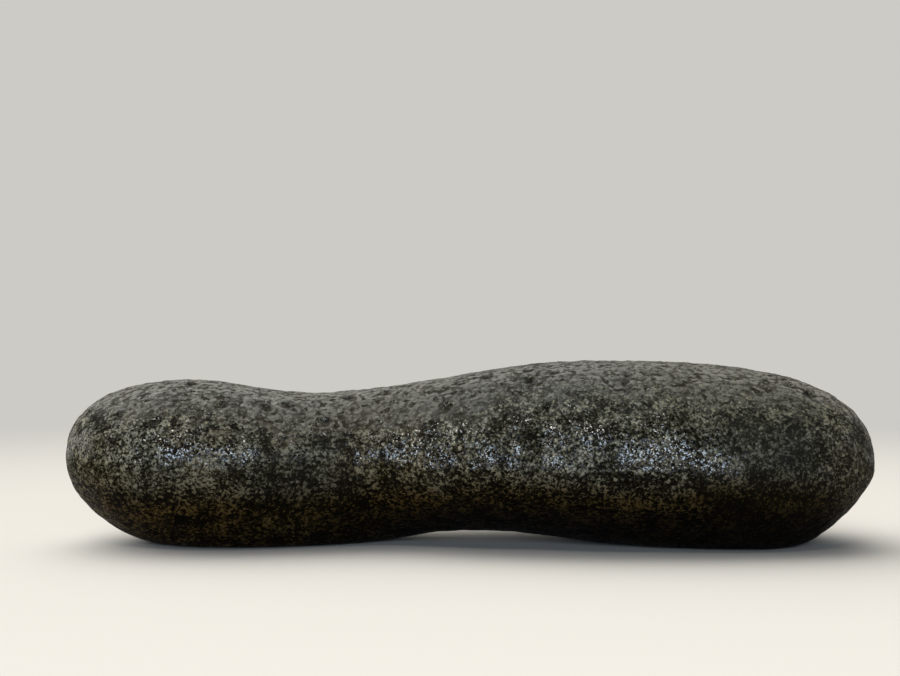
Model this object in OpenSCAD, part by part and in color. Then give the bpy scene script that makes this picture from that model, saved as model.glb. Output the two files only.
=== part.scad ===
// Basalt massage stone: one water-worn cobble, long and waisted, with a small lobe and a large lobe.
// Millimetres. +X runs from the small lobe to the large one, -Y is the hollow side and +Z is up.
// The origin is on the table, under the middle of the stone's box.

/* [Length] */
// Overall length, from tip to tip
stone_length = 230; // [215:1:260]
// From the small tip to the crest of the small lobe
small_crest_at = 36; // [28:1:48]
// From the small tip to the saddle between the two crests
saddle_at = 68; // [58:1:100]
// From the small tip to the crest of the large lobe
large_crest_at = 151; // [125:1:170]

/* [Heights above the table] */
// Crest of the small lobe
small_crest_height = 47; // [38:0.5:56]
// Saddle between the two crests
saddle_height = 43; // [32:0.5:50]
// Crest of the large lobe
large_crest_height = 52.5; // [44:0.5:64]
// Tip of the small lobe
small_tip_height = 25.5; // [18:0.5:32]
// Tip of the large lobe
large_tip_height = 22.5; // [15:0.5:30]

/* [Plan, measured from the line between the tips] */
// From the small tip to the fullest part of the small lobe
small_bulge_at = 36; // [28:1:50]
// From the small tip to the narrowest part of the waist
waist_at = 88; // [66:1:105]
// From the small tip to where the waist's hollow ends on the front
hollow_end_at = 118; // [108:1:128]
// From the small tip to the fullest part of the large lobe's front
large_front_at = 150; // [132:1:165]
// From the small tip to the fullest part of the large lobe's back
large_back_at = 156; // [130:1:172]
// Reach of the small lobe to the front
small_front = 28; // [18:0.5:36]
// Reach of the waist to the front
waist_front = 19.5; // [14:0.5:28]
// Reach to the front where the waist's hollow ends
hollow_end_front = 29.5; // [22:0.5:38]
// Reach of the large lobe to the front
large_front = 33.5; // [26:0.5:46]
// Reach of the small lobe to the back
small_back = 35; // [24:0.5:46]
// Reach of the waist to the back
waist_back = 33; // [18:0.5:44]
// Reach of the large lobe to the back
large_back = 44; // [30:0.5:54]

/* [Underside] */
// From the small tip to the middle of the small lobe's seat
small_seat_at = 60; // [45:1:75]
// From the small tip to the crown of the arch between the seats
arch_at = 116; // [95:1:140]
// From the small tip to the middle of the large lobe's seat
large_seat_at = 197; // [170:1:205]
// Height of the arch above the table
arch_lift = 3.5; // [1:0.5:8]
// Depth that wear has taken off the round underside at the seats
seat_wear = 6.5; // [4:0.5:9]
// Height over which the edge of a seat rounds up into the flank
seat_blend = 2; // [0.5:0.5:3]

/* [Roundness, where 1 is a straight slope, 2 an ellipse and more is blunter] */
// Small end, seen from the side, above its tip
small_top_roundness = 2.4; // [1.6:0.1:3.5]
// Small end, seen from the side, below its tip
small_base_roundness = 2.1; // [1.2:0.1:3]
// Small end, seen from above
small_plan_roundness = 2.1; // [1.6:0.1:3]
// Large end, seen from the side, above its tip
large_top_roundness = 2.8; // [1.6:0.1:3.5]
// Large end, seen from the side, below its tip
large_base_roundness = 1.5; // [1.1:0.1:2.5]
// Large end, seen from above, on the front
large_front_roundness = 3; // [1.6:0.1:3.5]
// Large end, seen from above, on the back
large_back_roundness = 2.3; // [1.6:0.1:3]
// Section across the small lobe, above its widest line
small_section_roundness = 2.3; // [1.7:0.1:3.2]
// Section across the large lobe, above its widest line
large_section_roundness = 2.7; // [1.7:0.1:3.2]
// Section across the stone, below its widest line
under_section_roundness = 1.7; // [1.4:0.1:3]
// Share of the width by which the flanks lean in, from the widest line up to the crest
flank_lean = 0.18; // [0:0.02:0.4]

/* [Mesh] */
// Steps along the length, closest together at the tips
length_steps = 64; // [24:2:76]
// Points round each section
ring_points = 64; // [24:4:76]

/* [Hidden] */
stone_colour = [0.24, 0.24, 0.22];

// How late the flanks start to lean in above the widest line, where 1 would leave a crease there.
lean_delay = 1.5;

// Lines along the stone, each as [distance from the small tip, value] at its tips, lobes and waist.
top_line = [
    [0, small_tip_height],
    [small_crest_at, small_crest_height],
    [saddle_at, saddle_height],
    [large_crest_at, large_crest_height],
    [stone_length, large_tip_height]
];
base_line = [
    [0, small_tip_height],
    [small_seat_at, -seat_wear],
    [arch_at, arch_lift],
    [large_seat_at, -seat_wear],
    [stone_length, large_tip_height]
];
front_line = [
    [0, 0],
    [small_bulge_at, -small_front],
    [waist_at, -waist_front],
    [hollow_end_at, -hollow_end_front],
    [large_front_at, -large_front],
    [stone_length, 0]
];
back_line = [
    [0, 0],
    [small_bulge_at, small_back],
    [waist_at, waist_back],
    [large_back_at, large_back],
    [stone_length, 0]
];

// Quarter of a superellipse: 1 at u = 0, falling to 0 at u = 1.
function rounded_end(u, roundness) = pow(max(0, 1 - pow(u, roundness)), 1 / roundness);

// Smooth step from 0 to 1.
function ease(t) = (1 - cos(180 * t)) / 2;

function between(a, b, share) = a + (b - a) * share;

// How far x has come from one [distance, value] point of a line to the next, from 0 to 1.
function share(x, from, to) = min(1, max(0, (x - from[0]) / (to[0] - from[0])));

// Number of the line's span that holds x, counted from 0 at the small tip.
function span_at(line, x, i = 0) = i == len(line) - 2 || x < line[i + 1][0] ? i : span_at(line, x, i + 1);

// Value of a line at x: a rounded end, eased spans from point to point, and a rounded end.
function along(line, x, small_end, large_end) =
    let (
        i = span_at(line, x),
        done = share(x, line[i], line[i + 1])
    )
    i == 0
        ? between(line[0][1], line[1][1], rounded_end(1 - done, small_end))
    : i == len(line) - 2
        ? between(line[i + 1][1], line[i][1], rounded_end(done, large_end))
    : between(line[i][1], line[i + 1][1], ease(done));

function top_at(x) = along(top_line, x, small_top_roundness, large_top_roundness);
function base_at(x) = along(base_line, x, small_base_roundness, large_base_roundness);
function front_at(x) = along(front_line, x, small_plan_roundness, large_front_roundness);
function back_at(x) = along(back_line, x, small_plan_roundness, large_back_roundness);

// The widest line runs straight from tip to tip.
function widest_at(x) = between(small_tip_height, large_tip_height, x / stone_length);

// Roundness of the upper half of the section, which changes from lobe to lobe.
function upper_section_at(x) =
    between(
        small_section_roundness,
        large_section_roundness,
        ease(share(x, top_line[1], top_line[3]))
    );

// Cosine or sine of an angle, filled out to a superellipse.
function filled(c, roundness) = sign(c) * pow(abs(c), 2 / roundness);

// The table grinds the underside flat: below -seat_blend all is seat, with a rounded edge above it.
function worn(z) =
    z > seat_blend ? z
    : z < -seat_blend ? 0
    : pow(z + seat_blend, 2) / (4 * seat_blend);

// Share of the half width that is left at a share of the rise above the widest line.
function leaning(rise_share) = 1 - flank_lean * pow(max(0, rise_share), lean_delay);

// One point of the skin, at x along the stone and at an angle round its section.
function skin_point(x, angle) =
    let (
        half_width = (back_at(x) - front_at(x)) / 2,
        middle = (back_at(x) + front_at(x)) / 2,
        rise = sin(angle) > 0 ? top_at(x) - widest_at(x) : widest_at(x) - base_at(x),
        roundness = sin(angle) > 0 ? upper_section_at(x) : under_section_roundness,
        across = filled(cos(angle), roundness),
        upward = filled(sin(angle), roundness)
    ) [
        x,
        middle + half_width * across * leaning(upward),
        worn(widest_at(x) + rise * upward)
    ];

// Distance of a ring of points from the small tip.
function ring_x(step) = stone_length * ease(step / length_steps);

last_ring = length_steps - 1;
tip_points = [[0, 0, small_tip_height], [stone_length, 0, large_tip_height]];
ring_skin = [
    for (step = [1:last_ring], k = [0:ring_points - 1])
        skin_point(ring_x(step), 360 * k / ring_points)
];
skin = concat(tip_points, ring_skin);

// Index in skin of point k of a ring.
function ring_index(step, k) = len(tip_points) + (step - 1) * ring_points + k % ring_points;

small_tip_faces = [
    for (k = [0:ring_points - 1]) [0, ring_index(1, k), ring_index(1, k + 1)]
];
large_tip_faces = [
    for (k = [0:ring_points - 1]) [1, ring_index(last_ring, k + 1), ring_index(last_ring, k)]
];
ring_faces = [
    for (step = [1:last_ring - 1], k = [0:ring_points - 1], half = [0, 1])
        half == 0
            ? [ring_index(step, k), ring_index(step + 1, k), ring_index(step + 1, k + 1)]
            : [ring_index(step, k), ring_index(step + 1, k + 1), ring_index(step, k + 1)]
];

skin_faces = concat(small_tip_faces, large_tip_faces, ring_faces);

skin_ys = [for (p = skin) p[1]];
middle_y = (min(skin_ys) + max(skin_ys)) / 2;

module stone() {
    color(stone_colour)
        translate([-stone_length / 2, -middle_y, 0])
            polyhedron(points = skin, faces = skin_faces, convexity = 4);
}

stone();
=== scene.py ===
"""Dresses a basalt massage stone: one wet, water-worn, speckled cobble on a plain pale floor."""

import logging
import math
from dataclasses import dataclass, field
from enum import Enum

import bmesh
import bpy
from mathutils import Matrix, Vector


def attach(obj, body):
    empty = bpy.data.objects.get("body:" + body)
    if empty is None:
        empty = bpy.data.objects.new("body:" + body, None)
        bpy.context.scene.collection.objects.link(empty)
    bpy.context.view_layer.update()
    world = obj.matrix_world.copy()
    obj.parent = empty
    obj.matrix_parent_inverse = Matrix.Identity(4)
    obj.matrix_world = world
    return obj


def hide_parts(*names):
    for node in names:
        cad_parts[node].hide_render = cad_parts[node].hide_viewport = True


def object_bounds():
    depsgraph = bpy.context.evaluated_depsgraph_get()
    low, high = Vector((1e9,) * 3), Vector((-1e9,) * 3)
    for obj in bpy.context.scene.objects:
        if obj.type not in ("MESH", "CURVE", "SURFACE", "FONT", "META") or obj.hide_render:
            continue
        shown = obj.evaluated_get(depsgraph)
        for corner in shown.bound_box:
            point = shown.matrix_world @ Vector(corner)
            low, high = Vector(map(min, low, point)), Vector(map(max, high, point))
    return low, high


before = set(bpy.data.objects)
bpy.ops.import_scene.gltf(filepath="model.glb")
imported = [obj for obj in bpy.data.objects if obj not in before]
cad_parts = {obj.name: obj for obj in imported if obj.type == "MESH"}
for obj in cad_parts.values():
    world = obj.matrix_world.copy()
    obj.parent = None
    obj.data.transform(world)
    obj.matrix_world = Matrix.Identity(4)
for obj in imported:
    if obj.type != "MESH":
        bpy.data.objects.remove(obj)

MM = 0.001
MIDDLE = 0.5  # The mean of what a noise or a cell texture gives.
CAD_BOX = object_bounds()
LOG = logging.getLogger("massage_stone")

Colour = tuple[float, float, float]
Range = tuple[float, float]
Places = tuple[tuple[float, float], ...]  # Shares of the stone's length, each with a value.
Stops = tuple[tuple[float, Colour], ...]  # Places on a ramp, each with its colour.
Socket = bpy.types.NodeSocket


class Piece(Enum):
    """The nodes of the part that this script dresses."""

    STONE = "stone"


class Attribute(Enum):
    """Values that the stone's skin carries for its finish."""

    PIT = "pit_depth"
    CROWN = "crown_share"


class Wiring:
    """Adds nodes to one node tree and links them, so that a finish reads as a list of steps."""

    def __init__(self, tree: bpy.types.NodeTree) -> None:
        """Keeps the tree that the nodes go into."""
        self.tree = tree

    def node(self, kind: str, **settings: object) -> bpy.types.Node:
        """Adds a node and sets its own options.

        Args:
            kind: Blender's name for the type of node.
            settings: Options of the node, by name.

        Returns:
            The new node.
        """
        made = self.tree.nodes.new(kind)
        for name, value in settings.items():
            setattr(made, name, value)
        return made

    def feed(self, socket: Socket, value: object) -> None:
        """Links a socket to another one, or sets it to a plain value.

        Args:
            socket: The input to fill.
            value: An output socket, a number, or a tuple of numbers.
        """
        if isinstance(value, bpy.types.NodeSocket):
            self.tree.links.new(value, socket)
        else:
            socket.default_value = value

    def math(self, operation: str, a: object, b: object = 0.0, c: object = 0.0) -> Socket:
        """Adds a math node.

        Args:
            operation: Blender's name for the operation.
            a: First number or socket.
            b: Second number or socket.
            c: Third number or socket.

        Returns:
            The node's result.
        """
        made = self.node("ShaderNodeMath", operation=operation)
        for socket, value in zip(made.inputs, (a, b, c)):
            self.feed(socket, value)
        return made.outputs[0]

    def plus(self, base: object, value: object, weight: object) -> Socket:
        """Adds a weighted value to a base."""
        return self.math("MULTIPLY_ADD", value, weight, base)

    def product(self, first: object, *others: object) -> Socket:
        """Multiplies numbers or sockets.

        Args:
            first: The first number or socket.
            others: What it is multiplied by.

        Returns:
            The product.
        """
        for other in others:
            first = self.math("MULTIPLY", first, other)
        return first

    def rest_of(self, share: Socket) -> Socket:
        """Gives what a share leaves of the whole."""
        return self.math("SUBTRACT", 1.0, share)

    def contrast(self, value: Socket, middle: float, gain: object) -> Socket:
        """Spreads a value away from a middle, or draws it closer where the gain is negative."""
        return self.plus(value, self.math("SUBTRACT", value, middle), gain)

    def vector(self, operation: str, a: object, b: object = (0.0, 0.0, 0.0)) -> Socket:
        """Adds a vector math node with two vectors.

        Args:
            operation: Blender's name for the operation.
            a: First vector or socket.
            b: Second vector or socket.

        Returns:
            The node's vector.
        """
        made = self.node("ShaderNodeVectorMath", operation=operation)
        self.feed(made.inputs[0], a)
        self.feed(made.inputs[1], b)
        return made.outputs[0]

    def dot(self, a: object, b: object) -> Socket:
        """Multiplies two vectors into a number.

        Args:
            a: First vector or socket.
            b: Second vector or socket.

        Returns:
            The number.
        """
        made = self.node("ShaderNodeVectorMath", operation="DOT_PRODUCT")
        self.feed(made.inputs[0], a)
        self.feed(made.inputs[1], b)
        return made.outputs["Value"]

    def scaled(self, vector: Socket, factor: object) -> Socket:
        """Multiplies a vector by a number.

        Args:
            vector: The vector.
            factor: A number or socket.

        Returns:
            The longer or shorter vector.
        """
        made = self.node("ShaderNodeVectorMath", operation="SCALE")
        self.feed(made.inputs[0], vector)
        self.feed(made.inputs["Scale"], factor)
        return made.outputs[0]

    def part(self, vector: Socket, axis: int) -> Socket:
        """Takes one number out of a vector or a colour.

        Args:
            vector: The vector or colour.
            axis: 0, 1 or 2.

        Returns:
            The number.
        """
        made = self.node("ShaderNodeSeparateXYZ")
        self.feed(made.inputs[0], vector)
        return made.outputs[axis]

    def span(
        self,
        value: Socket,
        low: object,
        high: object,
        start: float = 0.0,
        end: float = 1.0,
    ) -> Socket:
        """Maps a value smoothly from one range to another, and holds it at both ends.

        Args:
            value: The value.
            low: Where the range starts.
            high: Where the range ends.
            start: Result at low.
            end: Result at high.

        Returns:
            The mapped value.
        """
        made = self.node("ShaderNodeMapRange", interpolation_type="SMOOTHSTEP")
        for name, number in (
            ("Value", value),
            ("From Min", low),
            ("From Max", high),
            ("To Min", start),
            ("To Max", end),
        ):
            self.feed(made.inputs[name], number)
        return made.outputs[0]

    def noise(
        self,
        where: Socket,
        scale: object,
        detail: float = 2.0,
        roughness: float = 0.5,
    ) -> bpy.types.Node:
        """Adds a noise texture.

        Args:
            where: The coordinates.
            scale: Features to the metre.
            detail: Octaves of finer noise.
            roughness: Strength of each finer octave.

        Returns:
            The texture node.
        """
        made = self.node("ShaderNodeTexNoise")
        self.feed(made.inputs["Vector"], where)
        self.feed(made.inputs["Scale"], scale)
        self.feed(made.inputs["Detail"], detail)
        self.feed(made.inputs["Roughness"], roughness)
        return made

    def cells(self, where: Socket, scale: object) -> bpy.types.Node:
        """Adds a texture of random cells.

        Args:
            where: The coordinates.
            scale: Cells to the metre.

        Returns:
            The texture node.
        """
        made = self.node("ShaderNodeTexVoronoi", feature="F1")
        self.feed(made.inputs["Vector"], where)
        self.feed(made.inputs["Scale"], scale)
        return made

    def mix(self, factor: object, a: object, b: object, blend: str = "MIX") -> Socket:
        """Mixes two colours.

        Args:
            factor: Share of the second colour.
            a: First colour or socket.
            b: Second colour or socket.
            blend: Blender's name for the way of mixing.

        Returns:
            The mixed colour.
        """
        made = self.node("ShaderNodeMix", data_type="RGBA", blend_type=blend)
        for name, value in (("Factor_Float", factor), ("A_Color", a), ("B_Color", b)):
            socket = next(s for s in made.inputs if s.identifier == name)
            self.feed(socket, (*value, 1.0) if isinstance(value, tuple) else value)
        return next(s for s in made.outputs if s.identifier == "Result_Color")

    def tinted(self, colour: Socket, tint: Colour, share: Socket) -> Socket:
        """Multiplies a colour by a tint, as far as a share says."""
        return self.mix(share, colour, tint, "MULTIPLY")

    def ramp(self, value: Socket, stops: Stops) -> Socket:
        """Adds a colour ramp.

        Args:
            value: Where on the ramp to read.
            stops: Places on the ramp, each with its colour.

        Returns:
            The colour.
        """
        made = self.node("ShaderNodeValToRGB")
        band = made.color_ramp.elements
        while len(band) < len(stops):
            band.new(0.5)
        for element, (place, colour) in zip(band, stops):
            element.position = place
            element.color = (*colour, 1.0)
        self.feed(made.inputs[0], value)
        return made.outputs[0]

    def bump(self, depth: float, height: Socket) -> Socket:
        """Adds a bump node.

        Args:
            depth: The depth of the relief.
            height: The height of each point, as a share of the depth.

        Returns:
            The bent normal.
        """
        made = self.node("ShaderNodeBump")
        self.feed(made.inputs["Distance"], depth)
        self.feed(made.inputs["Height"], height)
        return made.outputs[0]

    def attribute(self, name: Attribute) -> Socket:
        """Reads a value that the mesh carries."""
        return self.node("ShaderNodeAttribute", attribute_name=name.value).outputs["Fac"]


@dataclass
class Surface:
    """What the finish reads at each point of the stone's skin."""

    wires: Wiring
    warp: float = 0.8 * MM
    warp_size: float = 0.9375 * MM
    wander: float = 45.0 * MM
    wander_size: float = 16.0 * MM
    shoulder_at: Range = (31.0 * MM, 37.0 * MM)
    place: Socket = field(init=False)
    height: Socket = field(init=False)
    bent: Socket = field(init=False)
    length_share: Socket = field(init=False)
    crown: Socket = field(init=False)
    flank: Socket = field(init=False)
    shoulder: Socket = field(init=False)
    pit: Socket = field(init=False)

    def __post_init__(self) -> None:
        """Adds the nodes that read the place, the crown and the pits."""
        wires = self.wires
        self.place = wires.node("ShaderNodeTexCoord").outputs["Object"]
        self.height = wires.part(self.place, 2)
        self.bent = self._bent()
        self.length_share = self._length_share()
        self.crown = wires.attribute(Attribute.CROWN)
        self.flank = wires.rest_of(self.crown)
        self.shoulder = wires.span(self.height, *self.shoulder_at)
        self.pit = wires.attribute(Attribute.PIT)

    def along(self, stops: Places) -> Socket:
        """Reads a value that changes along the stone's length, with uneven borders.

        Args:
            stops: Shares of the length from the small tip, each with its value.

        Returns:
            The value, from 0 to 1.
        """
        greys = tuple((at, (much, much, much)) for at, much in stops)
        return self.wires.part(self.wires.ramp(self.length_share, greys), 0)

    def _bent(self) -> Socket:
        """Bends the coordinates a little, so that cells in them get uneven outlines.

        Returns:
            The bent coordinates.
        """
        drift = self.wires.noise(self.place, 1.0 / self.warp_size).outputs["Color"]
        drift = self.wires.vector("SUBTRACT", drift, (MIDDLE, MIDDLE, MIDDLE))
        return self.wires.vector("ADD", self.place, self.wires.scaled(drift, self.warp))

    def _length_share(self) -> Socket:
        """Measures how far along the stone a point lies, with some wander.

        Returns:
            The share of the length from the small tip.
        """
        wires = self.wires
        low, high = CAD_BOX
        wander = wires.noise(self.place, 1.0 / self.wander_size).outputs[0]
        wander = wires.math("SUBTRACT", wander, MIDDLE)
        where = wires.plus(wires.part(self.place, 0), wander, self.wander)
        return wires.math("DIVIDE", wires.math("SUBTRACT", where, low.x), high.x - low.x)


@dataclass(frozen=True)
class Layers:
    """What lies where on the skin, each as a share, apart from the tone of the grains."""

    tone: Socket
    ochre: Socket
    hollow: Socket
    shade_patch: Socket
    soaked_shade: Socket
    deep_shade: Socket


@dataclass(frozen=True)
class MineralGrains:
    """Salt-and-pepper grains, with a large pale one here and there."""

    crystal: float = 0.75 * MM
    crystal_weight: float = 0.30
    fine_crystal: float = 0.4 * MM
    fine_weight: float = 0.36
    clot: float = 6.0 * MM
    clot_weight: float = 0.7
    soft: float = 0.9375 * MM
    soft_weight: float = 0.95
    noise_roughness: float = 0.6
    large_crystal: float = 2.3 * MM
    large_edge: Range = (0.14, 0.36)
    large_lift: float = 0.30
    large_chance: Range = (0.55, 0.75)
    base_tone: float = 0.16
    # The border between crown and flank is lighter: partly paler grains, partly a painted highlight
    # along the shoulder.
    border_pale_and_highlight_lift: float = 0.16
    border_middle: float = 0.47
    border_gain: float = 2.1
    # Painted shade: the flank is darker above the shoulder and a little lighter below it, as far as
    # these places say.
    lower_flank_lift: float = 0.03
    upper_flank_shade_lift: float = -0.11
    flank_shade_places: Places = (
        (0.0, 1.0),
        (0.16, 1.0),
        (0.28, 0.0),
        (0.35, 0.0),
        (0.42, 0.4),
        (0.78, 0.3),
        (0.86, 0.0),
    )
    flank_middle: float = 0.60
    flank_gain: float = 0.13
    # The tone is darker in a band along the middle of the flank, between these heights, where the even
    # places say.
    mid_band_low: float = 20.0 * MM
    mid_band_high: float = 40.0 * MM
    mid_band_fade: float = 6.0 * MM
    mid_band_lift: float = -0.03
    even_middle: float = 0.50
    even_gain: float = -0.32
    even_places: Places = (
        (0.26, 0.0),
        (0.38, 1.0),
        (0.78, 1.0),
        (0.86, 0.0),
    )
    ochre_chance: Range = (0.5, 0.9)
    ochre_share: float = 0.15
    ochre_at_border: float = 1.7

    def tones(self, skin: Surface) -> tuple[Socket, Socket]:
        """Lays out the grains.

        Args:
            skin: The stone's skin.

        Returns:
            The tone of the grains from dark to pale, and the share of ochre in them.
        """
        wires = skin.wires
        coarse = wires.cells(skin.bent, 1.0 / self.crystal).outputs["Color"]
        tone = self._speckle(skin, wires.part(coarse, 0))
        border = wires.product(skin.crown, skin.flank)
        # Partly paler grains, partly a painted highlight along the shoulder.
        tone = wires.plus(wires.math("ADD", tone, self.base_tone), border, self.border_pale_and_highlight_lift)
        tone = wires.contrast(tone, self.border_middle, wires.product(border, self.border_gain))
        tone = self._patched(skin, tone)
        ochre = wires.span(wires.part(coarse, 1), *self.ochre_chance)
        ochre = wires.product(ochre, wires.plus(self.ochre_share, border, self.ochre_at_border))
        return tone, ochre

    def _speckle(self, skin: Surface, coarse: Socket) -> Socket:
        """Adds up grains of all sizes.

        Args:
            skin: The stone's skin.
            coarse: The tone of the common grains.

        Returns:
            The tone of the grains.
        """
        wires = skin.wires
        fine = wires.cells(skin.bent, 1.0 / self.fine_crystal).outputs["Color"]
        clot = wires.noise(skin.place, 1.0 / self.clot, 2.0, self.noise_roughness).outputs[0]
        soft = wires.noise(skin.bent, 1.0 / self.soft, 2.0, self.noise_roughness).outputs[0]
        tone = wires.product(coarse, self.crystal_weight)
        tone = wires.plus(tone, wires.part(fine, 0), self.fine_weight)
        tone = wires.plus(tone, wires.math("SUBTRACT", clot, MIDDLE), self.clot_weight)
        tone = wires.plus(tone, wires.math("SUBTRACT", soft, MIDDLE), self.soft_weight)
        large = wires.cells(skin.bent, 1.0 / self.large_crystal)
        spot = wires.span(large.outputs["Distance"], *self.large_edge, self.large_lift, 0.0)
        chosen = wires.span(wires.part(large.outputs["Color"], 0), *self.large_chance)
        return wires.plus(tone, spot, chosen)

    def _patched(self, skin: Surface, tone: Socket) -> Socket:
        """Makes some parts of the flanks paler, darker, more even or more speckled than others. It
        paints shade on the upper flank below the crown and lightens the flank lower down.

        Args:
            skin: The stone's skin.
            tone: The tone of the grains.

        Returns:
            The tone of the grains with these parts in it.
        """
        wires = skin.wires
        # Painted shade on the upper flank below the crown, a little lighter lower down.
        pale = wires.product(skin.along(self.flank_shade_places), skin.flank)
        lift = wires.span(skin.height, *skin.shoulder_at, self.lower_flank_lift, self.upper_flank_shade_lift)
        tone = wires.plus(tone, pale, lift)
        tone = wires.contrast(tone, self.flank_middle, wires.product(skin.flank, self.flank_gain))
        even = skin.along(self.even_places)
        # Darker in a band along the middle of the flank.
        above = wires.span(skin.height, self.mid_band_low, self.mid_band_low + self.mid_band_fade)
        below = wires.span(skin.height, self.mid_band_high - self.mid_band_fade, self.mid_band_high, 1.0, 0.0)
        tone = wires.plus(tone, wires.product(even, above, below), self.mid_band_lift)
        even = wires.product(even, skin.shoulder, skin.flank, self.even_gain)
        return wires.contrast(tone, self.even_middle, even)


@dataclass(frozen=True)
class SoakedShadedFoot:
    """The dark foot of the stone, partly wet through and partly painted shade under its bulge, which
    reaches higher on the large lobe.
    """

    line: Places = (
        (0.0, 0.69),
        (0.30, 0.69),
        (0.42, 0.73),
        (0.55, 0.80),
        (0.68, 0.76),
        (0.82, 0.82),
        (1.0, 0.66),
    )
    line_scale: float = 34.0 * MM
    fade: float = 11.5 * MM
    # Painted shade: the darkest part of the foot, low on the large lobe.
    deep_shade_fade: Range = (6.9 * MM, 18.4 * MM)
    deep_shade_places: Places = (
        (0.27, 0.0),
        (0.42, 1.0),
    )

    def shares(self, skin: Surface) -> tuple[Socket, Socket]:
        """Finds the foot.

        Args:
            skin: The stone's skin.

        Returns:
            The share of the dark foot, partly wet and partly painted shade, and the share of its darkest
            part, which is painted shade low on the large lobe, each from 0 to 1.
        """
        wires = skin.wires
        top = wires.product(skin.along(self.line), self.line_scale)
        below = wires.math("SUBTRACT", top, skin.height)
        deep_shade = wires.product(wires.span(below, *self.deep_shade_fade), skin.along(self.deep_shade_places))
        return wires.span(below, 0.0, self.fade), deep_shade


@dataclass(frozen=True)
class FineRelief:
    """Ripples, grains, hollows and, on the crown, small pebbles with creases between them."""

    depth: float = 0.6 * MM
    ripple: float = 2.1 * MM
    crown_ripple: float = 2.4
    pebble: float = 1.6 * MM
    pebble_weight: float = -1.1
    grain_weight: float = 0.3
    hollow: float = 2.4 * MM
    hollow_weight: float = -0.8
    hollow_edge: Range = (0.36, 0.45)
    crease_edge: Range = (0.48, 0.80)
    crease_depth: float = 0.7
    flank_hollow: float = 0.15
    noise_roughness: float = 0.55

    def hollows(self, skin: Surface) -> Socket:
        """Spreads small irregular hollows and creases, which are deepest on the worn crown.

        Args:
            skin: The stone's skin.

        Returns:
            The depth of the hollows, from 0 to 1.
        """
        wires = skin.wires
        wave = wires.noise(skin.place, 1.0 / self.hollow, 2.0, self.noise_roughness).outputs[0]
        depth = wires.span(wave, *self.hollow_edge, 1.0, 0.0)
        crease = wires.span(self._pebbles(skin), *self.crease_edge, 0.0, self.crease_depth)
        depth = wires.math("MAXIMUM", depth, crease)
        return wires.product(depth, wires.plus(self.flank_hollow, skin.crown, 1.0 - self.flank_hollow))

    def normal(self, skin: Surface, layers: Layers) -> Socket:
        """Adds up the relief.

        Args:
            skin: The stone's skin.
            layers: What lies where on it.

        Returns:
            The normal of the relief.
        """
        wires = skin.wires
        ripple = wires.noise(skin.bent, 1.0 / self.ripple, 3.0, self.noise_roughness).outputs[0]
        height = wires.product(wires.plus(1.0, skin.crown, self.crown_ripple), ripple)
        height = wires.plus(height, wires.product(self._pebbles(skin), skin.crown), self.pebble_weight)
        height = wires.plus(height, layers.tone, self.grain_weight)
        return wires.bump(self.depth, wires.plus(height, layers.hollow, self.hollow_weight))

    def _pebbles(self, skin: Surface) -> Socket:
        """Gives the distance from the middle of the nearest pebble."""
        return skin.wires.cells(skin.bent, 1.0 / self.pebble).outputs["Distance"]


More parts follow.
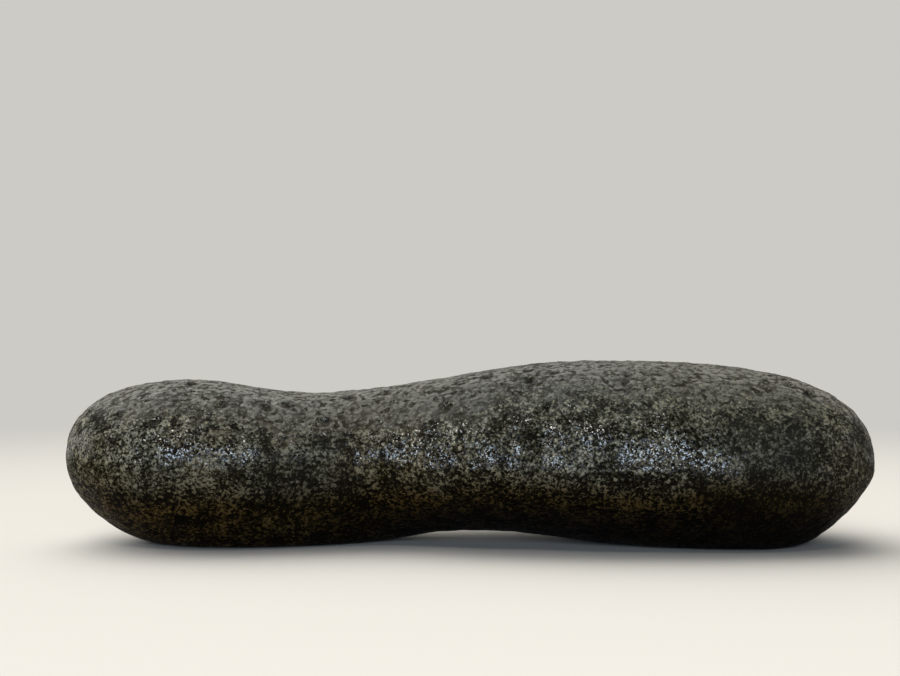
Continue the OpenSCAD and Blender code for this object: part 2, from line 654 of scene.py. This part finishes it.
@dataclass(frozen=True)
class StoneStains:
    """The colours of the grains, and over them the worn crown with a painted sheen, the rust, painted
    shade in hollows, pits and patches of the flanks, and the dark foot, partly painted shade.
    """

    grain_colours: Stops = (
        (0.28, (0.0036, 0.0031, 0.0008)),
        (0.42, (0.0205, 0.0186, 0.0096)),
        (0.53, (0.0545, 0.0552, 0.0405)),
        (0.66, (0.138, 0.140, 0.110)),
        (0.84, (0.315, 0.308, 0.245)),
    )
    # The crown is mixed towards this paler colour: partly its real worn surface, partly a painted sheen
    # on the up-facing top.
    worn: Colour = (0.153, 0.152, 0.132)
    wear_and_sheen: float = 0.76
    wear_and_sheen_power: float = 1.6
    # Painted sheen: the top of the crown is lighter at the small lobe and the waist, partly as a drier
    # surface.
    dry_and_sheen_tint: Colour = (1.27, 1.27, 1.27)
    dry_and_sheen_places: Places = (
        (0.36, 1.0),
        (0.52, 0.0),
    )
    ochre_tint: Colour = (1.0, 0.94, 0.66)
    ochre_places: Places = (
        (0.66, 0.0),
        (0.80, 0.35),
        (1.0, 0.45),
    )
    # Painted shade in the small hollows and in the creases between pebbles.
    hollow_shade_tint: Colour = (0.25, 0.22, 0.18)
    rust_tint: Colour = (1.0, 0.76, 0.42)
    rust_size: float = 16.0 * MM
    rust_roughness: float = 0.6
    rust_edge: Range = (0.34, 0.60)
    rust_least: float = 0.2
    rust_heights: Range = (24.0 * MM, 42.0 * MM)
    rust_at_crest: float = 0.12
    rust_tones: Range = (0.46, 0.68)
    rust_on_pale: float = 0.45
    rust_places: Places = (
        (0.0, 0.9),
        (0.30, 0.9),
        (0.38, 1.0),
        (0.47, 1.0),
        (0.58, 0.35),
        (0.88, 0.30),
        (1.0, 1.0),
    )
    # Painted shade: the flanks are mixed towards this dark colour in the hollow of the waist and at the
    # large end.
    shade_patch_colour: Colour = (0.022, 0.0215, 0.018)
    shade_patch_weight: float = 0.55
    shade_patch_places: Places = (
        (0.18, 0.0),
        (0.26, 0.65),
        (0.35, 0.65),
        (0.44, 0.05),
        (0.75, 0.0),
        (0.81, 1.0),
        (0.86, 1.0),
        (0.93, 0.6),
    )
    # The foot is darker and browner: partly wet through, partly painted shade under the bulge.
    soaked_shade_tint: Colour = (0.41, 0.305, 0.150)
    soaked_shade_gain: float = 0.9
    soaked_shade_lift: float = -0.56
    deep_shade_tint: Colour = (0.21, 0.19, 0.17)
    # Painted shade in the pits.
    pit_shade_tint: Colour = (0.16, 0.14, 0.11)
    pit_shade_weight: float = 0.85

    def shade_patch(self, skin: Surface) -> Socket:
        """Finds where the flanks get painted shade: in the hollow of the waist and at the large end."""
        return skin.wires.product(skin.along(self.shade_patch_places), skin.flank)

    def colour(self, skin: Surface, layers: Layers) -> Socket:
        """Colours the grains and lays over them the worn crown with its painted sheen, the stains,
        painted shade in the hollows, patches and pits, and the dark foot with its painted shade.

        Args:
            skin: The stone's skin.
            layers: What lies where on it.

        Returns:
            The colour of the stone.
        """
        wires = skin.wires
        # The grains get darker towards the foot: partly wet, partly painted shade.
        soaked_shade = wires.plus(self.soaked_shade_lift, layers.tone, self.soaked_shade_gain)
        colour = wires.ramp(wires.plus(layers.tone, layers.soaked_shade, soaked_shade), self.grain_colours)
        colour = wires.tinted(colour, self.ochre_tint, layers.ochre)
        # The up-facing crown gets a paler colour: partly its real worn surface, partly painted sheen.
        wear_and_sheen = wires.product(wires.math("POWER", skin.crown, self.wear_and_sheen_power), self.wear_and_sheen)
        colour = wires.mix(wear_and_sheen, colour, self.worn)
        # Painted sheen on the top of the crown at the small lobe and the waist, partly a drier surface.
        dry_and_sheen = wires.product(skin.crown, skin.crown, skin.along(self.dry_and_sheen_places))
        colour = wires.tinted(colour, self.dry_and_sheen_tint, dry_and_sheen)
        ochre = wires.product(skin.shoulder, skin.along(self.ochre_places))
        colour = wires.tinted(colour, self.ochre_tint, ochre)
        # Painted shade in the hollows and creases.
        colour = wires.tinted(colour, self.hollow_shade_tint, layers.hollow)
        colour = wires.tinted(colour, self.rust_tint, self._rust(skin, layers.tone))
        # Painted shade on the flanks at the waist and the large end.
        colour = wires.mix(wires.product(layers.shade_patch, self.shade_patch_weight), colour, self.shade_patch_colour)
        # Painted shade at the foot, on top of its wet darkening.
        colour = wires.tinted(colour, self.soaked_shade_tint, layers.soaked_shade)
        # Painted shade, darkest low on the large lobe.
        colour = wires.tinted(colour, self.deep_shade_tint, layers.deep_shade)
        # Painted shade in the pits.
        return wires.tinted(colour, self.pit_shade_tint, wires.product(skin.pit, self.pit_shade_weight))

    def _rust(self, skin: Surface, tone: Socket) -> Socket:
        """Finds the rust-brown stains, which are strongest low on the stone and on dark grains.

        Args:
            skin: The stone's skin.
            tone: The tone of the grains.

        Returns:
            The share of rust, from 0 to 1.
        """
        wires = skin.wires
        stain = wires.noise(skin.place, 1.0 / self.rust_size, 3.0, self.rust_roughness).outputs[0]
        stain = wires.span(stain, *self.rust_edge, self.rust_least, 1.0)
        low = wires.span(skin.height, *self.rust_heights, 1.0, self.rust_at_crest)
        dark = wires.span(tone, *self.rust_tones, 1.0, self.rust_on_pale)
        return wires.product(stain, low, skin.along(self.rust_places), dark)


@dataclass(frozen=True)
class WaterFilm:
    """A patchy film of water, tilted over each small crystal face so that the faces glint one by one."""

    roughness: float = 0.06
    ior: float = 1.9
    depth: float = 0.5 * MM
    ripple: float = 2.1 * MM
    facet: float = 0.38 * MM
    facet_chance: Range = (0.3, 1.0)
    facet_tilt: Range = (0.336, 0.84)
    crown_tilt: float = 0.2
    facet_lean: float = 0.24
    lean_places: Places = (
        (0.37, 0.0),
        (0.42, 1.0),
        (0.48, 1.0),
        (0.53, 0.0),
    )
    patch: float = 7.0 * MM
    patch_roughness: float = 0.6
    patch_edge: Range = (0.50, 0.65)
    patch_least: float = 0.12
    reach: float = 0.24
    places: Places = (
        (0.08, 0.0),
        (0.125, 0.5),
        (0.15, 0.9),
        (0.19, 0.9),
        (0.23, 0.05),
        (0.35, 0.03),
        (0.40, 0.12),
        (0.44, 0.5),
        (0.48, 0.5),
        (0.52, 0.15),
        (0.61, 0.28),
        (0.68, 0.28),
        (0.76, 0.42),
        (0.82, 0.05),
    )
    face_edge: Range = (0.0, 0.7)
    face_least: float = 0.05
    on_crown: float = 0.65
    foot_power: float = 2.0
    foot_loss: float = -0.95
    under_edge: Range = (-0.05, 0.12)
    under_least: float = 0.05
    rim_edge: Range = (0.62, 0.98)
    rim_least: float = 0.15
    shade_patch_film_loss: float = -0.9
    pit_edge: Range = (0.1, 0.7)
    pit_least: float = 0.15

    def pour(self, shader: bpy.types.Node, skin: Surface, layers: Layers) -> None:
        """Lays the film over the stone.

        Args:
            shader: The stone's shader.
            skin: The stone's skin.
            layers: What lies where on it.
        """
        wires = skin.wires
        wires.feed(shader.inputs["Coat Weight"], self._weight(skin, layers))
        wires.feed(shader.inputs["Coat Roughness"], self.roughness)
        wires.feed(shader.inputs["Coat IOR"], self.ior)
        wires.feed(shader.inputs["Coat Normal"], self._normal(skin))

    def _faces(self, skin: Surface) -> Socket:
        """Gives each crystal face three random numbers."""
        return skin.wires.cells(skin.place, 1.0 / self.facet).outputs["Color"]

    def _normal(self, skin: Surface) -> Socket:
        """Tilts the film over each crystal face.

        Args:
            skin: The stone's skin.

        Returns:
            The normal of the film.
        """
        wires = skin.wires
        calm = wires.bump(self.depth, wires.noise(skin.place, 1.0 / self.ripple, 1.0).outputs[0])
        face = self._faces(skin)
        tilt = wires.vector("SUBTRACT", face, (MIDDLE, MIDDLE, MIDDLE))
        steep = wires.span(wires.part(face, 2), *self.facet_chance, *self.facet_tilt)
        steep = wires.product(steep, wires.plus(1.0, skin.crown, self.crown_tilt - 1.0))
        tilted = wires.vector("ADD", calm, wires.scaled(tilt, steep))
        aside = wires.node("ShaderNodeCombineXYZ")
        wires.feed(aside.inputs["X"], wires.product(skin.along(self.lean_places), self.facet_lean))
        return wires.vector("NORMALIZE", wires.vector("ADD", tilted, aside.outputs[0]))

    def _weight(self, skin: Surface, layers: Layers) -> Socket:
        """Says how much of the surface the water covers.

        Args:
            skin: The stone's skin.
            layers: What lies where on it. The film is thinner on the patches of painted shade.

        Returns:
            The weight of the film.
        """
        wires = skin.wires
        patches = wires.noise(skin.place, 1.0 / self.patch, 2.0, self.patch_roughness).outputs[0]
        patches = wires.plus(patches, skin.along(self.places), self.reach)
        cover = wires.span(patches, *self.patch_edge, self.patch_least, 1.0)
        face = wires.part(self._faces(skin), 1)
        cover = wires.product(cover, wires.span(face, *self.face_edge, self.face_least, 1.0))
        cover = wires.math("MAXIMUM", cover, wires.product(skin.crown, self.on_crown))
        foot = wires.plus(1.0, wires.math("POWER", layers.soaked_shade, self.foot_power), self.foot_loss)
        upward = wires.part(wires.node("ShaderNodeNewGeometry").outputs["Normal"], 2)
        under = wires.span(upward, *self.under_edge, self.under_least, 1.0)
        facing = wires.node("ShaderNodeLayerWeight").outputs["Facing"]
        rim = wires.span(facing, *self.rim_edge, 1.0, self.rim_least)
        # The film is thinner on the patches of painted shade.
        shade_patch = wires.plus(1.0, layers.shade_patch, self.shade_patch_film_loss)
        deepest = wires.math("MAXIMUM", skin.pit, layers.hollow)
        dull = wires.span(deepest, *self.pit_edge, 1.0, self.pit_least)
        return wires.product(cover, foot, under, rim, shade_patch, dull)


@dataclass(frozen=True)
class WetStoneFinish:
    """Wet salt-and-pepper rock: pale and dark grains, rust-brown stains and a film of water."""

    name: str = "wet_speckled_stone"
    grains: MineralGrains = MineralGrains()
    foot: SoakedShadedFoot = SoakedShadedFoot()
    relief: FineRelief = FineRelief()
    stains: StoneStains = StoneStains()
    film: WaterFilm = WaterFilm()
    rough_tones: Range = (0.2, 0.8)
    roughness: Range = (0.62, 0.42)
    specular: float = 0.03

    def material(self) -> bpy.types.Material:
        """Builds the material.

        Returns:
            The finished material.
        """
        made = bpy.data.materials.new(self.name)
        made.use_nodes = True
        made.node_tree.nodes.clear()
        wires = Wiring(made.node_tree)
        skin = Surface(wires)
        tone, ochre = self.grains.tones(skin)
        soaked_shade, deep_shade = self.foot.shares(skin)
        layers = Layers(tone, ochre, self.relief.hollows(skin), self.stains.shade_patch(skin), soaked_shade, deep_shade)
        shader = wires.node("ShaderNodeBsdfPrincipled")
        wires.feed(shader.inputs["Base Color"], self.stains.colour(skin, layers))
        wires.feed(shader.inputs["Roughness"], wires.span(tone, *self.rough_tones, *self.roughness))
        wires.feed(shader.inputs["Specular IOR Level"], self.specular)
        wires.feed(shader.inputs["Normal"], self.relief.normal(skin, layers))
        self.film.pour(shader, skin, layers)
        output = wires.node("ShaderNodeOutputMaterial")
        wires.feed(output.inputs["Surface"], shader.outputs[0])
        return made


@dataclass
class StoneSkin:
    """The stone's weathered skin: the solid's form with slow swells, small lumps and pits."""

    name: str = "stone_skin"
    edge: float = 0.77 * MM
    merge: float = 0.001 * MM
    relax: float = 0.5
    relax_rounds: int = 4
    swell: float = 0.9 * MM
    swell_size: float = 30.0 * MM
    lump: float = 0.7 * MM
    lump_size: float = 7.0 * MM
    grain: float = 0.7 * MM
    grain_size: float = 2.4 * MM
    flank_grain: float = 0.4
    wave_roughness: float = 0.6
    pit: float = 0.7 * MM
    pit_cell: float = 5.6 * MM
    pit_reach: float = 2.6 * MM
    small_pit: float = 0.3 * MM
    small_pit_cell: float = 2.6 * MM
    small_pit_reach: float = 0.8 * MM
    small_pit_shade: float = 0.7
    pit_chance: Range = (0.4, 1.0)
    pit_least: float = 0.1
    pit_wall: float = 0.6
    flank_pit: float = 0.3
    crown_facing: Range = (0.48, 0.86)
    border_sway: float = 0.65
    border_size: float = 12.0 * MM
    border_detail: float = 4.0
    waist_crown: float = 0.15
    waist_at: float = -24.0 * MM
    waist_half: float = 12.0 * MM
    waist_fade: float = 40.0 * MM
    seat: float = 0.4 * MM
    seat_fade: float = 4.0 * MM

    def build(self, finish: bpy.types.Material) -> bpy.types.Object:
        """Makes the skin as one plain mesh.

        Args:
            finish: The stone's material.

        Returns:
            The skin's object.
        """
        raw = self._even_mesh(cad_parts[Piece.STONE.value])
        relief = raw.modifiers.new("weathering", "NODES")
        relief.node_group = self._weathering(finish)
        for item in relief.node_group.interface.items_tree:
            if item.in_out == "INPUT" and item.socket_type == "NodeSocketFloat":
                relief[item.identifier] = item.default_value
        raw.update_tag()
        graph = bpy.context.evaluated_depsgraph_get()
        mesh = bpy.data.meshes.new_from_object(raw.evaluated_get(graph), depsgraph=graph)
        raw.modifiers.remove(relief)
        raw.data = mesh
        mesh.shade_smooth()
        return raw

    def dress(self, skin: bpy.types.Object) -> None:
        """Puts the skin in the place of the solid.

        Args:
            skin: The skin's object.
        """
        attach(skin, "root")
        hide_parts(Piece.STONE.value)

    def _even_mesh(self, node: bpy.types.Object) -> bpy.types.Object:
        """Copies the solid into a mesh of even, small faces.

        Args:
            node: The solid's object.

        Returns:
            A new object with the even mesh.
        """
        mesh = node.data.copy()
        mesh.name = self.name
        shaped = bmesh.new()
        shaped.from_mesh(mesh)
        bmesh.ops.remove_doubles(shaped, verts=shaped.verts, dist=self.merge)
        shaped.to_mesh(mesh)
        shaped.free()
        mesh.materials.clear()
        skin = bpy.data.objects.new(self.name, mesh)
        bpy.context.scene.collection.objects.link(skin)
        rounded = skin.modifiers.new("rounded", "SUBSURF")
        rounded.levels = rounded.render_levels = 1
        even = skin.modifiers.new("even", "REMESH")
        even.mode = "VOXEL"
        even.voxel_size = self.edge
        relaxed = skin.modifiers.new("relaxed", "SMOOTH")
        relaxed.factor = self.relax
        relaxed.iterations = self.relax_rounds
        graph = bpy.context.evaluated_depsgraph_get()
        dense = bpy.data.meshes.new_from_object(skin.evaluated_get(graph), depsgraph=graph)
        skin.modifiers.clear()
        skin.data = dense
        return skin

    def _weathering(self, finish: bpy.types.Material) -> bpy.types.NodeTree:
        """Builds the tree that weathers the skin.

        Args:
            finish: The stone's material.

        Returns:
            The geometry node tree.
        """
        tree = bpy.data.node_groups.new("stone_weathering", "GeometryNodeTree")
        self._name_inputs(tree)
        wires = Wiring(tree)
        given = wires.node("NodeGroupInput").outputs
        place = wires.node("GeometryNodeInputPosition").outputs[0]
        normal = wires.node("GeometryNodeInputNormal").outputs[0]

        crown = self._crown(wires, given, place, normal)
        exposed = wires.plus(self.flank_pit, crown, 1.0 - self.flank_pit)
        large = self._pits(wires, place, given["Pit spacing"], given["Pit reach"])
        large = wires.product(large, exposed)
        small = self._pits(wires, place, given["Small pit spacing"], given["Small pit reach"])
        small = wires.product(small, exposed)
        height = self._swell(wires, place, given["Swell height"], given["Swell size"])
        lump = self._swell(wires, place, given["Lump height"], given["Lump size"])
        grain = self._swell(wires, place, given["Grain height"], given["Grain size"])
        height = wires.math("ADD", height, lump)
        height = wires.plus(height, grain, wires.plus(self.flank_grain, crown, 1.0 - self.flank_grain))
        height = wires.math("SUBTRACT", height, wires.product(large, given["Pit depth"]))
        height = wires.math("SUBTRACT", height, wires.product(small, given["Small pit depth"]))

        clear = wires.span(wires.part(place, 2), given["Seat height"], given["Seat fade"])
        moved = wires.node("GeometryNodeSetPosition")
        wires.feed(moved.inputs["Geometry"], given["Geometry"])
        wires.feed(moved.inputs["Offset"], wires.scaled(normal, wires.product(height, clear)))
        deepest = wires.math("MAXIMUM", large, wires.product(small, self.small_pit_shade))
        deepest = wires.product(deepest, clear)
        shape = self._stored(wires, moved.outputs[0], Attribute.PIT, deepest)
        shape = self._stored(wires, shape, Attribute.CROWN, crown)
        whole = wires.node("GeometryNodeRealizeInstances")
        wires.feed(whole.inputs[0], shape)
        dressed = wires.node("GeometryNodeSetMaterial")
        wires.feed(dressed.inputs["Geometry"], whole.outputs[0])
        dressed.inputs["Material"].default_value = finish
        wires.feed(wires.node("NodeGroupOutput").inputs[0], dressed.outputs[0])
        return tree

    def _name_inputs(self, tree: bpy.types.NodeTree) -> None:
        """Gives the tree its named inputs, one for each size.

        Args:
            tree: The geometry node tree.
        """
        tree.interface.new_socket("Geometry", in_out="INPUT", socket_type="NodeSocketGeometry")
        tree.interface.new_socket("Geometry", in_out="OUTPUT", socket_type="NodeSocketGeometry")
        sizes = {
            "Swell height": self.swell,
            "Swell size": self.swell_size,
            "Lump height": self.lump,
            "Lump size": self.lump_size,
            "Grain height": self.grain,
            "Grain size": self.grain_size,
            "Pit depth": self.pit,
            "Pit spacing": self.pit_cell,
            "Pit reach": self.pit_reach,
            "Small pit depth": self.small_pit,
            "Small pit spacing": self.small_pit_cell,
            "Small pit reach": self.small_pit_reach,
            "Border sway": self.border_sway,
            "Border size": self.border_size,
            "Waist crown": self.waist_crown,
            "Waist place": self.waist_at,
            "Waist half": self.waist_half,
            "Waist fade": self.waist_fade,
            "Seat height": self.seat,
            "Seat fade": self.seat_fade,
        }
        for name, size in sizes.items():
            made = tree.interface.new_socket(name, in_out="INPUT", socket_type="NodeSocketFloat")
            made.default_value = size

    def _crown(
        self,
        wires: Wiring,
        given: bpy.types.NodeOutputs,
        place: Socket,
        normal: Socket,
    ) -> Socket:
        """Finds the worn crown, which faces up and comes lower at the waist, with an uneven border. The
        finish paints it lighter, partly as a sheen.

        Args:
            wires: The tree's nodes.
            given: The tree's named inputs.
            place: Position on the stone.
            normal: Direction that the skin faces.

        Returns:
            The share of the crown, from 0 to 1.
        """
        sway = self._swell(
            wires, place, given["Border sway"], given["Border size"], self.border_detail
        )
        away = wires.math("SUBTRACT", wires.part(place, 0), given["Waist place"])
        away = wires.math("ABSOLUTE", away)
        waist = wires.span(away, given["Waist half"], given["Waist fade"], 1.0, 0.0)
        facing = wires.plus(wires.part(normal, 2), waist, given["Waist crown"])
        return wires.span(wires.math("ADD", facing, sway), *self.crown_facing)

    def _swell(
        self,
        wires: Wiring,
        place: Socket,
        height: Socket,
        size: Socket,
        detail: float = 1.0,
    ) -> Socket:
        """Makes a soft wave that rises and falls about nought.

        Args:
            wires: The tree's nodes.
            place: Position on the stone.
            height: From the deepest hollow to the highest rise.
            size: Width of a swell.
            detail: Octaves of finer swells.

        Returns:
            The rise at each point.
        """
        scale = wires.math("DIVIDE", 1.0, size)
        wave = wires.noise(place, scale, detail, self.wave_roughness).outputs[0]
        return wires.product(wires.math("SUBTRACT", wave, MIDDLE), height)

    def _pits(self, wires: Wiring, place: Socket, spacing: Socket, reach: Socket) -> Socket:
        """Scatters round pits of many widths, one to a cell.

        Args:
            wires: The tree's nodes.
            place: Position on the stone.
            spacing: Width of a cell.
            reach: Radius of the widest pit.

        Returns:
            Depth at each point, from 0 outside the pits to 1.
        """
        cell = wires.cells(place, wires.math("DIVIDE", 1.0, spacing))
        away = wires.product(cell.outputs["Distance"], spacing)
        chance = wires.part(cell.outputs["Color"], 0)
        radius = wires.product(reach, wires.span(chance, *self.pit_chance, self.pit_least, 1.0))
        bowl = wires.rest_of(wires.math("DIVIDE", away, radius))
        return wires.span(bowl, 0.0, self.pit_wall)

    @staticmethod
    def _stored(wires: Wiring, shape: Socket, name: Attribute, value: Socket) -> Socket:
        """Keeps a value on the skin's points for the finish.

        Args:
            wires: The tree's nodes.
            shape: The skin.
            name: The value's name.
            value: The value.

        Returns:
            The skin with the value.
        """
        made = wires.node("GeometryNodeStoreNamedAttribute", data_type="FLOAT", domain="POINT")
        wires.feed(made.inputs["Geometry"], shape)
        wires.feed(made.inputs["Name"], name.value)
        wires.feed(made.inputs["Value"], value)
        return made.outputs[0]


@dataclass(frozen=True)
class Lamp:
    """One soft rectangular lamp that points at the stone, with its angles in degrees."""

    name: str
    azimuth: float
    elevation: float
    away: float
    width: float
    height: float
    power: float
    colour: Colour

    def build(self, target: Vector) -> None:
        """Hangs the lamp.

        Args:
            target: The point that it faces.
        """
        data = bpy.data.lights.new(self.name, "AREA")
        data.shape = "RECTANGLE"
        data.size = self.width
        data.size_y = self.height
        data.energy = self.power
        data.color = self.colour
        lamp = bpy.data.objects.new(self.name, data)
        turn, rise = math.radians(self.azimuth), math.radians(self.elevation)
        level = math.cos(rise)
        way = Vector((math.sin(turn) * level, -math.cos(turn) * level, math.sin(rise)))
        lamp.location = target + way * self.away
        lamp.rotation_euler = (-way).to_track_quat("-Z", "Y").to_euler()
        bpy.context.scene.collection.objects.link(lamp)


@dataclass(frozen=True)
class Studio:
    """Soft studio light, a pale floor and a pale backdrop."""

    backdrop: Colour = (0.61, 0.597, 0.565)
    ceiling: Colour = (0.10, 0.10, 0.10)
    ceiling_edge: Range = (0.6, 0.95)
    room: Colour = (0.03, 0.031, 0.033)
    rear_edge: Range = (-0.2, 0.3)
    key_light: Colour = (2.9, 2.87, 2.8)
    key_way: tuple[float, float, float] = (-0.45, 0.30, 0.841)
    key_edge: Range = (0.45, 1.0)
    front_light: Colour = (0.025, 0.025, 0.024)
    wall_light: Colour = (0.22, 0.216, 0.205)
    floor_colour: Colour = (0.66, 0.63, 0.58)
    floor_bounce: Colour = (0.20, 0.155, 0.09)
    floor_radius: float = 4.0
    floor_sides: int = 96
    floor_fade: Range = (0.16, 0.60)
    floor_drop: float = 0.05 * MM
    lamps: tuple[Lamp, ...] = (
        Lamp("ceiling_strip", -12.0, 46.0, 1.4, 0.44, 0.18, 2.4, (1.0, 0.97, 0.92)),
        Lamp("front_panel", -1.0, 15.0, 1.6, 1.1, 0.56, 11.3, (0.68, 0.82, 1.0)),
    )

    def build(self) -> None:
        """Lights the scene and lays the floor."""
        low, high = CAD_BOX
        for lamp in self.lamps:
            lamp.build((low + high) / 2)
        self._world()
        self._floor()

    def _world(self) -> None:
        """Gives soft light from all sides and a pale backdrop."""
        world = bpy.data.worlds.new("studio")
        bpy.context.scene.world = world
        world.use_nodes = True
        world.node_tree.nodes.clear()
        wires = Wiring(world.node_tree)
        path = wires.node("ShaderNodeLightPath").outputs
        way = wires.node("ShaderNodeTexCoord").outputs["Generated"]
        overhead = wires.span(wires.part(way, 2), *self.ceiling_edge)
        behind = wires.mix(overhead, self.backdrop, self.ceiling)
        rear = wires.span(wires.part(way, 1), *self.rear_edge)
        mirrored = wires.mix(rear, self.room, behind)
        level = wires.mix(rear, self.front_light, self.wall_light)
        key = wires.span(wires.dot(way, self.key_way), *self.key_edge)
        dome = wires.mix(key, level, self.key_light)
        colour = wires.mix(path["Is Glossy Ray"], dome, mirrored)
        seen = wires.math("MAXIMUM", path["Is Camera Ray"], path["Is Transmission Ray"])
        light = wires.node("ShaderNodeBackground")
        wires.feed(light.inputs["Color"], wires.mix(seen, colour, self.backdrop))
        wires.feed(wires.node("ShaderNodeOutputWorld").inputs[0], light.outputs[0])

    def _floor(self) -> None:
        """Lays a pale floor that fades into the backdrop."""
        mesh = bpy.data.meshes.new("floor")
        disc = bmesh.new()
        bmesh.ops.create_circle(
            disc, cap_ends=True, radius=self.floor_radius, segments=self.floor_sides
        )
        disc.to_mesh(mesh)
        disc.free()
        mesh.transform(Matrix.Translation((0.0, 0.0, -self.floor_drop)))
        floor = bpy.data.objects.new("floor", mesh)
        bpy.context.scene.collection.objects.link(floor)
        mesh.materials.append(self._floor_finish())

    def _floor_finish(self) -> bpy.types.Material:
        """Paints the floor.

        Returns:
            The floor's material.
        """
        made = bpy.data.materials.new("pale_floor")
        made.use_nodes = True
        made.node_tree.nodes.clear()
        wires = Wiring(made.node_tree)
        place = wires.node("ShaderNodeTexCoord").outputs["Object"]
        reach = wires.node("ShaderNodeVectorMath", operation="LENGTH")
        wires.feed(reach.inputs[0], place)
        fade = wires.span(reach.outputs["Value"], *self.floor_fade)
        path = wires.node("ShaderNodeLightPath").outputs
        seen = wires.math("MAXIMUM", path["Is Camera Ray"], path["Is Transmission Ray"])
        seen = wires.math("MAXIMUM", seen, path["Is Glossy Ray"])
        near = wires.node("ShaderNodeBsdfDiffuse")
        wires.feed(near.inputs["Color"], wires.mix(seen, self.floor_bounce, self.floor_colour))
        far = wires.node("ShaderNodeEmission")
        wires.feed(far.inputs["Color"], (*self.backdrop, 1.0))
        both = wires.node("ShaderNodeMixShader")
        wires.feed(both.inputs[0], fade)
        wires.feed(both.inputs[1], near.outputs[0])
        wires.feed(both.inputs[2], far.outputs[0])
        wires.feed(wires.node("ShaderNodeOutputMaterial").inputs[0], both.outputs[0])
        return made


@dataclass(frozen=True)
class PhotoCamera:
    """A level camera just above the stone's crest."""

    place: tuple[float, float, float] = (-5.1 * MM, -395.2 * MM, 59.05 * MM)
    focal_pixels: float = 1354.0
    image_width: float = 900.0
    sensor: float = 36.0
    near: float = 10.0 * MM

    def build(self) -> None:
        """Sets up the scene's camera."""
        data = bpy.data.cameras.new("photo_camera")
        data.sensor_width = self.sensor
        data.lens = self.focal_pixels / self.image_width * self.sensor
        data.clip_start = self.near
        camera = bpy.data.objects.new("photo_camera", data)
        camera.location = self.place
        camera.rotation_euler = (math.pi / 2, 0.0, 0.0)
        bpy.context.scene.collection.objects.link(camera)
        bpy.context.scene.camera = camera


def main() -> None:
    """Builds the camera, the studio and the stone, in that order."""
    logging.basicConfig(level=logging.INFO, format="%(name)s: %(message)s")
    bpy.context.scene.view_settings.view_transform = "Standard"
    PhotoCamera().build()
    Studio().build()
    stone = StoneSkin()
    skin = stone.build(WetStoneFinish().material())
    stone.dress(skin)
    triangles = sum(len(face.vertices) - 2 for face in skin.data.polygons)
    LOG.info("%s: %d triangles", skin.name, triangles)


if __name__ == "__main__":
    main()
